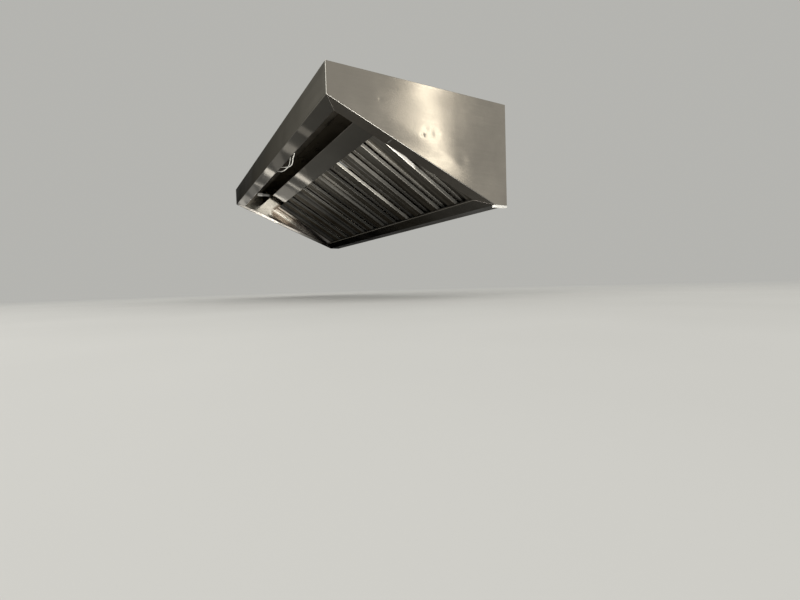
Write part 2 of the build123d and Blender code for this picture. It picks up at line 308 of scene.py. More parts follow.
def brushed_steel(
    name, colour, roughness, along, grime_and_shade=(0.4, 0.4), edges=None, inner_reflection=None, lines_deep=0.02
):
    """Steel sheet with fine brush lines along one axis and faint smudges.

    Faces that look down are darker, partly from a film of grease and partly from painted shade: they
    keep the share of their colour that is given for the near end and for the far end. Edges is how much
    of the shine stays where the sheet is seen nearly edge on: outside at the near and the far end, then
    the same below; where it falls towards the far end it is a painted shade, and where it rises, a
    painted highlight. The colour given for the inside is a painted reflection on an end panel's inner
    face, crossed by dark lines that are a painted reflection of the baffles. A sheet with an inside has
    edges too, and the black rim of the far end.
    """
    m = Nodes(name)
    x = m.coordinate("X")
    lines = m.noise(m.place(tuple(6.0 if axis == along else 900.0 for axis in "XYZ")), 1.0, 4, 0.7)
    smudge = m.noise(m.place(), 7.0, 4, 0.6)
    wave = m.noise(m.place(), 2.2, 1, 0.3)
    tone = m.sum(m.span(lines, 0.25, 0.75, -0.15, 0.15), m.span(smudge, 0.3, 0.7, 0.3, 0.7))
    along_hood = m.span(x, HALF_LENGTH, -HALF_LENGTH)
    lit_tone = m.mix(tone, shade(colour, 0.86), shade(colour, 1.14))
    # Faces that look down take a darker colour: partly grease, partly painted shade
    grease_and_shade = [m.mix(tone, shade(colour, share * 0.8), shade(colour, share * 1.2)) for share in grime_and_shade]
    grease_and_shade = m.mix(along_hood, *grease_and_shade)
    tint = (0.5, 0.5, 0.5)
    # The edge shine changes along the hood: a painted shade where it falls, a painted highlight where it
    # rises
    if edges:
        near, far, near_below, far_below = ((edge, edge, edge) for edge in edges)
        shine, below = m.mix(along_hood, near, far), m.mix(along_hood, near_below, far_below)
    if inner_reflection:
        # Depth is measured square to the filters, so that the painted reflection's dark lines run down
        # their slope
        y, depth = m.coordinate("Y"), m.coordinate("Z", turn=(-FILTER_ANGLE, 0, 0))
        baffle_reflection = m.times(m.span(y, *REFLECTION_START), m.ramp(m.span(depth, *REFLECTION_DEPTH), BAFFLE_REFLECTION))
        reflection_colour = m.mix(m.span(y, *REFLECTION_TURNS), *REFLECTION_COLOURS)
        # The end panels' inner faces take a painted reflection, crossed by the dark lines
        inner = m.span(m.times(m.facing("X", 1), x), -0.3, -0.8)
        lit_tone = m.mix(inner, lit_tone, m.mix(baffle_reflection, inner_reflection, reflection_colour))
        black = m.times(m.span(x, *BLACK_X), m.span(y, *BLACK_Y))
        grease_and_shade = m.mix(black, grease_and_shade, shade(colour, BLACK_SHARE))
        below = m.mix(black, below, BLACK_SHINE)
    under = m.span(m.facing("Z", -1), 0.3, 0.8)
    if edges:
        tint = m.mix(under, shine, below)
    rough = m.sum(
        m.span(lines, 0.3, 0.7, roughness * 0.75, roughness * 1.3),
        m.span(smudge, 0.35, 0.7, -roughness * 0.1, roughness * 0.4),
    )
    height = m.sum(m.span(lines, 0.2, 0.8, 0, lines_deep), m.span(wave, 0.2, 0.8, 0, 3.0))
    colour = m.mix(under, lit_tone, grease_and_shade)
    return m.finish(colour, rough, height, 0.35, 0.002, metallic=1.0, specular_tint=tint)


def stained_steel(name, colour, wall, grease, roughness, cover, walls, edge=0.32, painted_highlight=None):
    """Filter steel with brush lines down the slope and a film of grease that runs down it in streaks.

    The film is thicker towards the gutter and the far end, partly from grease and partly as painted
    shade. The folded walls, which face along the hood, are lighter and less metal: they hold less
    grease and catch more light, and carry a painted highlight too. Walls is a table of X and the level
    of painted light on a wall there, from shade to highlight, and edge is how much of the shine stays
    where a face is seen nearly edge on. The highlight argument says where a painted highlight of bare
    steel shows: on the last wall at the near end, or in stripes on the far blank.
    """
    m = Nodes(name)
    x, z = m.coordinate("X"), m.coordinate("Z")
    turn = (-FILTER_ANGLE, 0, 0)
    lines = m.noise(m.place((900, 10, 900), turn), 1.0, 4, 0.7)
    runs = m.noise(m.place((150, 3.5, 150), turn), 1.0, 5, 0.6)
    blots = m.noise(m.place(), 6.0, 4, 0.6)
    film = m.sum(m.span(runs, 0.3, 0.7, -0.35, 0.35), m.span(blots, 0.3, 0.7, cover - 0.15, cover + 0.2))
    # The film thickens towards the gutter and the far end, partly grease and partly painted shade
    down = m.span(z, -0.12, -0.36, -0.35, 0.6)
    away = m.span(x, HALF_LENGTH, -HALF_LENGTH, -0.15, 0.45)
    film = m.span(m.sum(film, m.sum(down, away)), 0.0, 1.0)
    # The walls facing along the hood: lighter and less metal, partly less grease and partly a painted
    # highlight
    upright = m.span(m.facing("X"), 0.55, 0.95)
    bare = m.mix(m.span(lines, 0.3, 0.7), shade(colour, 0.8), shade(colour, 1.2))
    web = m.mix(film, bare, grease)
    # Each wall's level of painted light from the table, from shade to highlight, under the grease film
    lit_tone = m.mix(m.ramp(m.span(x, -HALF_LENGTH, HALF_LENGTH), walls), WALL_SHADE, shade(wall, 2))
    lit_tone = m.mix(m.span(film, 0, 1, 0, 0.85), lit_tone, WALL_FILM)
    stained = m.mix(upright, web, lit_tone)
    metallic = m.span(upright, 0, 1, 1.0, 0.45)
    # Painted highlights of bare steel: on the last wall at the near end, or in stripes on the far blank
    if painted_highlight == "wall":
        spot = m.times(m.span(x, *HIGHLIGHT_X), m.span(m.coordinate("Y"), *HIGHLIGHT_Y))
        stained = m.mix(m.times(spot, upright), stained, HIGHLIGHT_STEEL)
    elif painted_highlight == "stripes":
        stripes = m.times(m.ramp(m.span(x, *BLANK_HIGHLIGHT_X), BLANK_HIGHLIGHTS), m.span(z, *BLANK_HIGHLIGHT_Z))
        stained = m.mix(stripes, stained, HIGHLIGHT_STEEL)
        metallic = m.span(stripes, 0, 1, 1.0, 0.3)
    rough = m.sum(
        m.span(lines, 0.3, 0.7, roughness - 0.05, roughness + 0.08), m.span(film, 0, 1, 0.0, 0.12)
    )
    height = m.sum(m.span(lines, 0.2, 0.8, 0, 0.02), m.span(runs, 0.2, 0.8, 0, 0.1))
    tint = (edge, edge, edge)
    return m.finish(stained, rough, height, 0.3, 0.001, metallic=metallic, specular_tint=tint)


def moulded_plastic(name, colour, roughness, nut=None):
    """Smooth plastic with a faint cloud of tone and a fine skin. Nut is the Y below which it is white."""
    m = Nodes(name)
    cloud = m.noise(m.place(), 60.0, 3)
    skin = m.noise(m.place(), 1500.0, 2)
    tone = m.mix(m.span(cloud, 0.3, 0.7), shade(colour, 0.92), shade(colour, 1.04))
    if nut:
        tone = m.mix(m.span(m.coordinate("Y"), nut, nut - MM), tone, NUT_COLOUR)
    rough = m.span(cloud, 0.3, 0.7, roughness, roughness + 0.08)
    return m.finish(tone, rough, m.span(skin, 0, 1, 0, 0.1), 0.2, 0.0004)


def weld_metal(name, colour, roughness, shaded_to_back=False):
    """Ground weld metal with a fine grain. A bead that is shaded to the back is darker from mid-depth to
    the back: a painted shade.
    """
    m = Nodes(name)
    grain = m.noise(m.place(), 420.0, 4, 0.6)
    tone = m.mix(m.span(grain, 0.3, 0.7), shade(colour, 0.85), shade(colour, 1.15))
    if shaded_to_back:
        tone = m.mix(m.span(m.coordinate("Y"), FRONT_Y, 0.0), tone, shade(colour, 0.45))
    rough = m.span(grain, 0.3, 0.7, roughness - 0.05, roughness + 0.08)
    return m.finish(tone, rough, m.span(grain, 0, 1, 0, 0.2), 0.3, 0.0005, metallic=1.0)


# Meshes


def mesh_object(name, points, faces, material):
    """A mesh piece from an array of points and a list of faces, which rides on the hood."""
    mesh = bpy.data.meshes.new(name)
    mesh.from_pydata(points.tolist(), [], faces)
    mesh.update()
    mesh.polygons.foreach_set("use_smooth", np.full(len(mesh.polygons), True))
    mesh.set_sharp_from_angle(angle=SHARP_ANGLE)
    mesh.materials.append(material)
    piece = bpy.data.objects.new(name, mesh)
    bpy.context.scene.collection.objects.link(piece)
    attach(piece, "root")
    return piece


def grid_faces(rows, columns, wrap=False):
    """Quads between neighbours of a grid of rows by columns; wrap joins the last column to the first."""
    row = np.arange(rows - 1)[:, None]
    column = np.arange(columns if wrap else columns - 1)[None, :]
    after = (column + 1) % columns
    a = row * columns + column
    b = row * columns + after
    return np.stack([a, b, b + columns, a + columns], axis=-1).reshape(-1, 4)


def tube_faces(rows, columns):
    """The faces of a tube of rings, a ring to a row, with a face that closes each end."""
    ends = [list(range(columns))[::-1], list(range((rows - 1) * columns, rows * columns))]
    return grid_faces(rows, columns, wrap=True).tolist() + ends


def carried_profile(path, profile, side, up):
    """A closed profile carried along a path.

    Point (i, j) is path i, plus profile j's first number along the side vector of that point, plus
    its second number along the up vector there.
    """
    points = path[:, None, :] + profile[..., :1] * side[:, None, :] + profile[..., 1:] * up[:, None, :]
    return points.reshape(-1, 3), tube_faces(*points.shape[:2])


def skin(name, front, outward, back_level, material, slot):
    """A thin closed shell: a grid of points, walls behind its border and a flat back that closes it.

    Outward is the axis and the way that the grid faces, and the back lies at back_level on it.
    """
    axis, way = outward
    across = np.cross(front[0, 1] - front[0, 0], front[1, 0] - front[0, 0])
    if across[axis] * way < 0:
        front = front[::-1]
    rows, columns = front.shape[:2]
    index = np.arange(rows * columns).reshape(rows, columns)
    ring = np.concatenate([index[0, :-1], index[:-1, -1], index[-1, :0:-1], index[:0:-1, 0]])
    points = front.reshape(-1, 3)
    rear = points[ring].copy()
    rear[:, axis] = back_level
    back = rows * columns + np.arange(len(ring))
    walls = np.stack([ring, back, np.roll(back, -1), np.roll(ring, -1)], axis=-1)
    faces = grid_faces(rows, columns).tolist() + walls.tolist() + [back[::-1].tolist()]
    return mesh_object(name, np.concatenate([points, rear]), faces, material)


def turned_heads(name, places, axes, profile, segments, material):
    """Copies of one turned shape, such as rivet heads.

    The profile is a table of radius and height from the foot to the last ring before the pole, with
    the pole's height last; a copy's point is its place plus radius times the cosine and the sine of
    the angle along the first two axes, plus the height along the third.
    """
    rings = np.array(profile[:-1], float)
    angle = np.linspace(0, 2 * np.pi, segments, endpoint=False)
    u, v, n = np.array(axes, float)
    round_ = np.cos(angle)[:, None] * u + np.sin(angle)[:, None] * v
    body = rings[:, None, :1] * round_[None] + rings[:, None, 1:] * n
    shape = np.concatenate([body.reshape(-1, 3), [profile[-1][1] * n]])
    places = np.array(places, float)
    points = (places[:, None, :] + shape[None]).reshape(-1, 3)
    start = (np.arange(len(places)) * len(shape))[:, None, None]
    last = (len(rings) - 1) * segments + np.arange(segments)
    fan = np.stack([last, np.roll(last, -1), np.full(segments, len(shape) - 1)], axis=-1)
    quads = (grid_faces(len(rings), segments, wrap=True)[None] + start).reshape(-1, 4)
    fans = (fan[None] + start).reshape(-1, 3)
    feet = (np.arange(segments)[::-1][None] + start[:, 0]).reshape(-1, segments)
    return mesh_object(name, points, quads.tolist() + fans.tolist() + feet.tolist(), material)


def smooth_rise(distance, width):
    """0 at a border, 1 from width inside it, with level ends: 3 t squared less 2 t cubed."""
    t = np.clip(distance / width, 0, 1)
    return t * t * (3 - 2 * t)


# Operators


# How high the strip lamps lie above the floor, the span of distance from the hood over which the floor
# fades into the backdrop, and half the floor's side
STRIP_LIFT = 0.02
FLOOR_FADE = (1.8, 4.5)
FLOOR_HALF = 40.0
# The sheets whose stripes are mirrored strips: Y and Z of the front edge, the width and the slope
MIRRORS = {
    "band": ((-0.188, -0.0872), 0.085, math.radians(27)),
    "rim": ((FRONT_Y, -LIP), FRONT_RIM, RIM_ANGLE),
}


def mirrored(points, slope, eye, level):
    """X and Y of the places on a level that a sloped sheet mirrors to the eye, from points on the sheet.

    The ray from the eye to a point loses twice its share along the sheet's normal, and then goes on
    to the level.
    """
    normal = np.array([0, -math.sin(slope), -math.cos(slope)])
    ray = points - np.array(eye)
    ray = ray - 2 * (ray @ normal)[:, None] * normal
    return (points + ray * ((level - points[:, 2]) / ray[:, 2])[:, None])[:, :2]


class HOOD_OT_stage(Operator):
    """Makes the floor, the light and the camera at the photograph's place"""

    bl_idname = "hood.stage"
    bl_label = "Stage"

    def execute(self, context):
        s = context.scene.hood_stage
        self.camera(context, s)
        self.world(context, s)
        self.floor(context, s)
        self.lamps(context, s)
        context.scene.view_settings.view_transform = "Standard"
        return {"FINISHED"}

    def camera(self, context, s):
        """The camera, turned by yaw from -X towards +Y, then up by pitch and round by roll."""
        camera = bpy.data.objects.new("camera", bpy.data.cameras.new("camera"))
        camera.data.lens = s.lens
        camera.data.sensor_width = 36
        camera.data.clip_start = 0.005
        cy, sy = math.cos(s.yaw), math.sin(s.yaw)
        cp, sp = math.cos(s.pitch), math.sin(s.pitch)
        cr, sr = math.cos(s.roll), math.sin(s.roll)
        level = Vector((-cy, sy, 0))
        right = Vector((sy, cy, 0))
        up = Vector((0, 0, 1))
        ahead = level * cp + up * sp
        above = up * cp - level * sp
        side = right * cr + above * sr
        top = above * cr - right * sr
        turn = Matrix((side, top, -ahead)).transposed().to_4x4()
        camera.matrix_world = Matrix.Translation(Vector(s.eye)) @ turn
        context.scene.collection.objects.link(camera)
        context.scene.camera = camera

    def world(self, context, s):
        """An even light, with a plain backdrop for the camera and for what the steel mirrors."""
        world = bpy.data.worlds.new("studio")
        context.scene.world = world
        world.use_nodes = True
        tree = world.node_tree
        tree.nodes.clear()
        output = tree.nodes.new("ShaderNodeOutputWorld")
        light = tree.nodes.new("ShaderNodeBackground")
        light.inputs["Color"].default_value = (1.0, 0.99, 0.96, 1)
        light.inputs["Strength"].default_value = 0.8
        seen = tree.nodes.new("ShaderNodeBackground")
        seen.inputs["Color"].default_value = (*s.backdrop, 1)
        seen.inputs["Strength"].default_value = 1.0
        # Rays from the camera, off a mirror or through a clear piece meet the backdrop, others the light
        path = tree.nodes.new("ShaderNodeLightPath")
        sight = path.outputs["Is Camera Ray"]
        for ray in ("Is Glossy Ray", "Is Transmission Ray"):
            either = tree.nodes.new("ShaderNodeMath")
            either.operation, either.use_clamp = "ADD", True
            tree.links.new(sight, either.inputs[0])
            tree.links.new(path.outputs[ray], either.inputs[1])
            sight = either.outputs[0]
        mix = tree.nodes.new("ShaderNodeMixShader")
        tree.links.new(sight, mix.inputs[0])
        tree.links.new(light.outputs[0], mix.inputs[1])
        tree.links.new(seen.outputs[0], mix.inputs[2])
        tree.links.new(mix.outputs[0], output.inputs["Surface"])

    def lamps(self, context, s):
        """Soft lamps round the hood, and strips on the floor whose reflections stripe the steel."""
        # Columns: name, place, point that it faces, width, height, power, colour
        lamps = [
            ("key", (1.5, -2.6, 1.5), (0, 0, -0.2), 2.4, 1.6, 22, (1, 0.98, 0.94)),
            ("end_glow", (2.6, 1.14, 0.55), (0.9, 0.0, -0.16), 0.22, 1.0, 2.1, (1, 0.95, 0.83)),
            ("low_fill", (2.6, -2.7, -0.2), (0, -0.1, -0.25), 2.2, 0.7, 26, (1, 0.98, 0.95)),
        ]
        for name, place, target, width, height, power, colour in lamps:
            aim = Vector(target) - Vector(place)
            turn = aim.to_track_quat("-Z", "Y").to_euler()
            self.lamp(context, name, place, turn, width, height, power, colour)
        # Strips that lie on the floor and face up: first those that show as stripes across a sheet
        # Columns: name, sheet, the stripe's first and last X, glow, length over the stripe's, shift
        warm = (1, 0.955, 0.88)
        stripes = [
            ("band_bright", "band", -0.033, -0.085, 5.0, 1.7, 0.02),
            ("band_second", "band", -0.24, -0.268, 3.6, 1.7, 0.02),
            ("band_mid", "band", -0.325, -0.56, 0.85, 1.8, 0.04),
            ("band_edge", "band", -0.565, -0.61, 5.5, 1.7, 0.02),
            ("rim_bright", "rim", 0.042, -0.055, 4.6, 1.5, 0),
            ("rim_second", "rim", -0.23, -0.28, 2.4, 1.5, 0),
            ("rim_dim", "rim", 0.07, 0.33, 0.42, 1.5, 0),
            ("rim_near", "rim", 0.345, 0.42, 1.3, 1.5, 0),
            ("rim_nearer", "rim", 0.576, 0.636, 0.75, 1.5, 0),
            ("rim_mid", "rim", -0.29, -0.6, 0.45, 1.5, 0),
            ("rim_middle", "rim", -0.6, -0.7, 1.0, 1.5, 0),
            ("rim_far", "rim", -0.7, -0.9, 1.7, 1.5, 0),
        ]
        for name, sheet, first, last, glow, reach, shift in stripes:
            place, turn, width, length = self.stripe(s, sheet, first, last, reach, shift)
            power = glow * math.pi * width * length
            self.lamp(context, name, place, turn, width, length, power, warm)
        # Columns: name, X, Y, width, length, turn from Y towards -X in degrees, power, colour
        strips = [
            ("far_rim_glow", -2.87, -0.145, 0.5, 0.09, 31, 1.55, warm),
            ("far_rim_dim", -2.44, 0.10, 0.38, 0.09, 31, 0.36, warm),
            ("near_pool", 1.15, -0.2, 0.75, 0.5, 0, 14, (1, 0.97, 0.93)),
        ]
        for name, x, y, width, length, turn, power, colour in strips:
            place = (x, y, s.floor_level + STRIP_LIFT)
            turn = (math.pi, 0, math.radians(turn))
            self.lamp(context, name, place, turn, width, length, power, colour)

    def stripe(self, s, sheet, first, last, reach, shift):
        """Place, turn, width and length of the strip that a sheet mirrors as a stripe between two X values.

        The stripe's corners are carried to the strip's level. The strip lies along the mean of the two
        sides that run from the sheet's front edge to its back edge. It is longer than them by the
        factor reach, and moved along them by the shift.
        """
        (y, z), across, slope = MIRRORS[sheet]
        back = y + across * math.cos(slope), z - across * math.sin(slope)
        level = s.floor_level + STRIP_LIFT
        points = np.array([(x, *edge) for edge in ((y, z), back) for x in (first, last)])
        corners = mirrored(points, slope, s.eye, level).reshape(2, 2, 2)
        side = (corners[1] - corners[0]).mean(axis=0)
        length = np.linalg.norm(side)
        way = side / length
        span = (corners[:, 1] - corners[:, 0]).mean(axis=0)
        width = abs(span[0] * way[1] - span[1] * way[0])
        x, y = corners.mean(axis=(0, 1)) + way * shift
        return (x, y, level), (math.pi, 0, -math.atan2(*way)), width, length * reach

    def lamp(self, context, name, place, turn, width, length, power, colour):
        """A rectangular lamp that the camera doesn't see."""
        data = bpy.data.lights.new(name, "AREA")
        data.shape = "RECTANGLE"
        data.size, data.size_y = width, length
        data.energy = power
        data.color = colour
        lamp = bpy.data.objects.new(name, data)
        lamp.location = place
        lamp.rotation_euler = turn
        lamp.visible_camera = False
        context.scene.collection.objects.link(lamp)

    def floor(self, context, s):
        """A plain floor that keeps the hood's shadow and fades into the backdrop away from the hood."""
        m = Nodes("floor")
        grain = m.noise(m.place(), 3.0, 3)
        colour = m.mix(m.span(grain, 0.2, 0.8), shade(s.floor_colour, 0.97), shade(s.floor_colour, 1.03))
        m.finish(colour, 0.9)
        m.shader.inputs["Specular IOR Level"].default_value = 0.1
        away = m.add("ShaderNodeVectorMath", {0: m.place((1, 1, 0.001))}, operation="LENGTH")
        path = m.add("ShaderNodeLightPath")
        seen = m.sum(path.outputs["Is Camera Ray"], path.outputs["Is Glossy Ray"])
        seen = m.sum(seen, path.outputs["Is Transmission Ray"])
        seen = m.times(m.span(seen, 0, 1), m.span(away.outputs["Value"], *FLOOR_FADE))
        glow = m.add("ShaderNodeEmission", values={"Color": (*s.backdrop, 1), "Strength": 1.0})
        mix = m.add("ShaderNodeMixShader", {0: seen, 1: m.shader.outputs[0], 2: glow.outputs[0]})
        output = next(node for node in m.tree.nodes if node.type == "OUTPUT_MATERIAL")
        m.tree.links.new(mix.outputs[0], output.inputs["Surface"])
        corners = np.array([[-1, -1], [1, -1], [1, 1], [-1, 1]]) * FLOOR_HALF
        corners = np.column_stack([corners, np.full(4, s.floor_level)])
        mesh = bpy.data.meshes.new("floor")
        mesh.from_pydata(corners.tolist(), [], [[0, 1, 2, 3]])
        mesh.materials.append(m.material)
        floor = bpy.data.objects.new("floor", mesh)
        context.scene.collection.objects.link(floor)


# Columns, in mm: X, the way behind the hem's top along the slope, and the height above the hem's top
LEADS = {
    "lamp_lead_1": [
        (-28, -27.0, -6.0), (-13, -27.0, -6.0), (35, -25.0, -6.0), (74, -12.0, 5.0),
        (107, 3.8, 5.0), (145, 14.0, -2.0), (198, 21.6, -12.0), (242, 24.4, -17.0),
        (271, 22.0, -16.0), (287, 17.3, -11.0), (303, 10.0, -2.0), (324, 8.3, 5.0),
        (346, -2.0, 7.0), (370, -14.0, 2.0), (395, -19.0, -6.0), (410, -19.0, -6.0),
    ],
    "lamp_lead_2": [
        (-28, -19.0, -6.0), (-13, -19.0, -6.0), (10, -9.0, 6.0), (27, 3.5, 6.0),
        (57, 12.4, 0.0), (92, 19.2, -5.0), (136, 22.9, -6.0), (168, 24.6, -2.0),
        (200, 21.2, 0.0), (220, 16.6, 1.0), (257, 8.4, 6.0), (280, -3.0, 8.0),
        (308, -16.0, 2.0), (345, -26.0, -6.0), (395, -27.0, -6.0), (410, -27.0, -6.0),
    ],
}


def spline_length(curve_object):
    """The length of a curve's own line, from its evaluated points."""
    bevel = curve_object.data.bevel_depth
    curve_object.data.bevel_depth = 0
    mesh = bpy.data.meshes.new_from_object(curve_object)
    curve_object.data.bevel_depth = bevel
    points = np.empty(len(mesh.vertices) * 3)
    mesh.vertices.foreach_get("co", points)
    points = points.reshape(-1, 3)
    bpy.data.meshes.remove(mesh)
    return float(np.linalg.norm(np.diff(points, axis=0), axis=1).sum())


class HOOD_OT_leads(Operator):
    """Makes the two loose lamp leads that hang behind the front lip"""

    bl_idname = "hood.leads"
    bl_label = "Lamp leads"

    def execute(self, context):
        sizes, finish = context.scene.hood_sizes, context.scene.hood_finish
        insulation = moulded_plastic("white_insulation", finish.white, 0.35)
        for name, stations in LEADS.items():
            data = bpy.data.curves.new(name + "_wire", "CURVE")
            data.dimensions = "3D"
            data.resolution_u = sizes.lead_segments
            data.bevel_depth = sizes.lead_diameter / 2
            data.bevel_resolution = 4
            data.use_fill_caps = True
            spline = data.splines.new("NURBS")
            spline.points.add(len(stations) - 1)
            for point, (x, behind, above) in zip(spline.points, stations):
                place = rim_point(FRONT_RIM + behind * MM, FRONT_HEM + above * MM)
                point.co = (x * MM, *place, 1)
            spline.order_u = 3
            spline.use_endpoint_u = True
            data.materials.append(insulation)
            wire = bpy.data.objects.new(name + "_wire", data)
            context.scene.collection.objects.link(wire)
            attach(wire, "root")
            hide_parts(name)
            spline_length(wire)
        return {"FINISHED"}


class HOOD_OT_housing(Operator):
    """Gives the housing's sheets their brushed steel"""

    bl_idname = "hood.housing"
    bl_label = "Housing"

    def execute(self, context):
        finish = context.scene.hood_finish
        # The gutter's darker steel: partly grease, partly painted shade
        dark = shade(finish.housing_colour, 0.6)
        # The painted reflection on the end panels' inner faces
        inner_reflection = shade(finish.wall_colour, 1.3)
        # Undersides darker by grease and painted shade; the fascia's edge shine falls towards the far end,
        # a painted shade
        housing = brushed_steel(
            "housing_steel", finish.housing_colour, 0.05, "X", (0.25, 0.25), (0.3, 0.07, 0.62, 0.62),
            lines_deep=0.01,
        )
        panels = brushed_steel("panel_steel", shade(finish.end_colour, 1.15), finish.roughness, "X")
        # The gutter darkens towards the far end, a painted shade
        gutter = brushed_steel("gutter_steel", dark, 0.3, "X", (0.3, 0.08), (0.5, 0.1, 0.5, 0.03))
        # The end panels' undersides: darker by grease and painted shade at the near end, and a painted
        # highlight in the far rim's edge shine
        ends = brushed_steel(
            "end_steel", finish.end_colour, 0.16, "Y", (0.25, 0.8), (0.5, 0.5, 0.55, 1.0), inner_reflection
        )
        zinc = brushed_steel("collar_steel", finish.zinc_colour, 0.45, "Z")
        white = moulded_plastic("cap_plastic", shade(finish.white, 0.8), 0.4)
        grey = moulded_plastic("terminal_plastic", finish.grey, 0.45)
        # The gland's nut is white up to 0.4 of the gland's length
        low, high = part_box("lamp_gland")
        nut = low.y + 0.4 * (high.y - low.y)
        gland = moulded_plastic("gland_plastic", shade(finish.grey, 0.8), 0.45, nut)
        # Columns: finish, nodes
        table = [
            (housing, ["front_fascia", "plenum_front", "upper_rail", "lower_rail"]),
            (panels, ["top_panel", "back_panel"]),
            (gutter, ["grease_gutter"]),
            (ends, ["end_panel_near", "end_panel_far"]),
            (zinc, ["duct_collar"]),
            (white, ["gutter_cap"]),
            (gland, ["lamp_gland"]),
            (grey, ["terminal_near", "terminal_far"]),
        ]
        for material, names in table:
            for name in names:
                NODES[name].data.materials[0] = material
        return {"FINISHED"}


class HOOD_OT_filters(Operator):
    """Gives the filters and the blanks beside them their greasy steel, with painted highlights and painted
    shade
    """

    bl_idname = "hood.filters"
    bl_label = "Filters"

    def execute(self, context):
        finish = context.scene.hood_finish
        args = finish.filter_colour, finish.wall_colour, finish.grease_colour, finish.roughness
        frames = stained_steel("filter_frame_steel", *args, 0.45, wall_table(FRAME_WALL_LIGHT))
        front = stained_steel("front_baffle_steel", *args, 0.5, wall_table(FRONT_WALL_LIGHT), painted_highlight="wall")
        back = stained_steel("back_baffle_steel", *args, 0.5, wall_table(BACK_WALL_LIGHT))
        blanks = stained_steel(
            "blank_steel",
            shade(finish.wall_colour, 0.22),
            finish.wall_colour,
            (0.25, 0.235, 0.225),
            roughness=0.14,
            cover=0.0,
            walls=[(0, 0.5), (1, 0.5)],
            edge=0.42,
            painted_highlight="stripes",
        )
        for name, node in NODES.items():
            if name.endswith("_frame"):
                node.data.materials[0] = frames
            elif name.endswith("_front_baffles"):
                node.data.materials[0] = front
            elif name.endswith("_back_baffles"):
                node.data.materials[0] = back
            elif name.startswith("blank_"):
                node.data.materials[0] = blanks
        return {"FINISHED"}


def bead(name, start, stop, outward, width, height, pitch, material):
    """A weld bead: an ellipse carried from start to stop, with its lower half in the steel.

    The ellipse is scaled along the way by 1 plus a small cosine, once per ripple, and by a slow wander.
    """
    start, stop = np.array(start, float), np.array(stop, float)
    length = np.linalg.norm(stop - start)
    across = np.cross(outward, stop - start) / length
    steps = int(length / pitch * 6) + 1
    t = np.linspace(0, 1, steps)
    path = start + (stop - start) * t[:, None]
    ripple = 1 + 0.04 * np.cos(2 * np.pi * t * length / pitch)
    wander = 1 + 0.04 * np.sin(37.0 * t * length) * np.sin(91.0 * t * length + 1)
    turn = np.linspace(0, 2 * np.pi, 16, endpoint=False)
    profile = np.stack([np.cos(turn) * width / 2, np.sin(turn) * height], axis=-1)
    profile = profile[None] * (ripple * wander)[:, None, None]
    side, up = np.tile(across, (steps, 1)), np.tile(np.array(outward, float), (steps, 1))
    points, faces = carried_profile(path, profile, side, up)
    return mesh_object(name, points, faces, material)


class HOOD_OT_welds(Operator):
    """Lays the ground weld beads along the end panels' edges and the rim's mitres"""

    bl_idname = "hood.welds"
    bl_label = "Weld beads"

    def execute(self, context):
        sizes = context.scene.hood_sizes
        # One weld metal in lit and shaded copies: the near front bead and the near bottom bead carry
        # painted highlights, the bottom one fading to painted shade at the back; the dark copy is a painted
        # shade on the far end's beads, and the mitres' narrow beads take it too. The tack is a dark weld
        # mark.
        front = weld_metal("front_weld_highlight", (0.75, 0.73, 0.67), 0.45)
        highlit = weld_metal("weld_highlight", (0.42, 0.405, 0.375), 0.45, shaded_to_back=True)
        shaded = weld_metal("weld_shade", (0.13, 0.12, 0.11), 0.4)
        tacks = weld_metal("tack_weld", (0.09, 0.087, 0.08), 0.45)
        down = (0.0, -math.sin(RIM_ANGLE), -math.cos(RIM_ANGLE))
        edge = HALF_LENGTH - SHEET / 2
        inner = HALF_LENGTH - END_RIM
        lip, foot = (FRONT_Y, -LIP), rim_point(RIM_LENGTH, 0)
        hem, gutter = rim_point(FRONT_RIM, 0), rim_point(RIM_LENGTH - GUTTER_RIM, 0)
        wide, high, pitch = sizes.bead_width, sizes.bead_height, sizes.bead_pitch
        # Columns: name, start and end as X, Y and Z, outward direction, width, height, metal
        table = [
            ("front", (edge, FRONT_Y, 0), (edge, *lip), (0, -1, 0), wide * 1.25, high, front),
            ("bottom", (edge, *lip), (edge, *foot), down, wide, high, highlit),
            ("mitre_front", (edge, *lip), (inner, *hem), down, wide * 0.7, high * 0.5, shaded),
            ("mitre_gutter", (inner, *gutter), (edge, *foot), down, wide * 0.7, high * 0.5, shaded),
        ]
        for end, way in (("near", 1), ("far", -1)):
            for name, start, stop, outward, width, height, metal in table:
                # The far end's beads all take the painted shade
                metal = metal if way > 0 else shaded
                start, stop = (np.array(point) * (way, 1, 1) for point in (start, stop))
                bead(f"weld_{end}_{name}", start, stop, outward, width, height, pitch, metal)
        # A short tack across the near rim, beside the upper end of the last filter
        tack = rim_point(0.249, 0)
        start, stop = (HALF_LENGTH - 0.018, *tack), (inner + 0.013, *tack)
        bead("weld_near_tack", start, stop, down, 0.005, 0.0008, pitch, tacks)
        return {"FINISHED"}


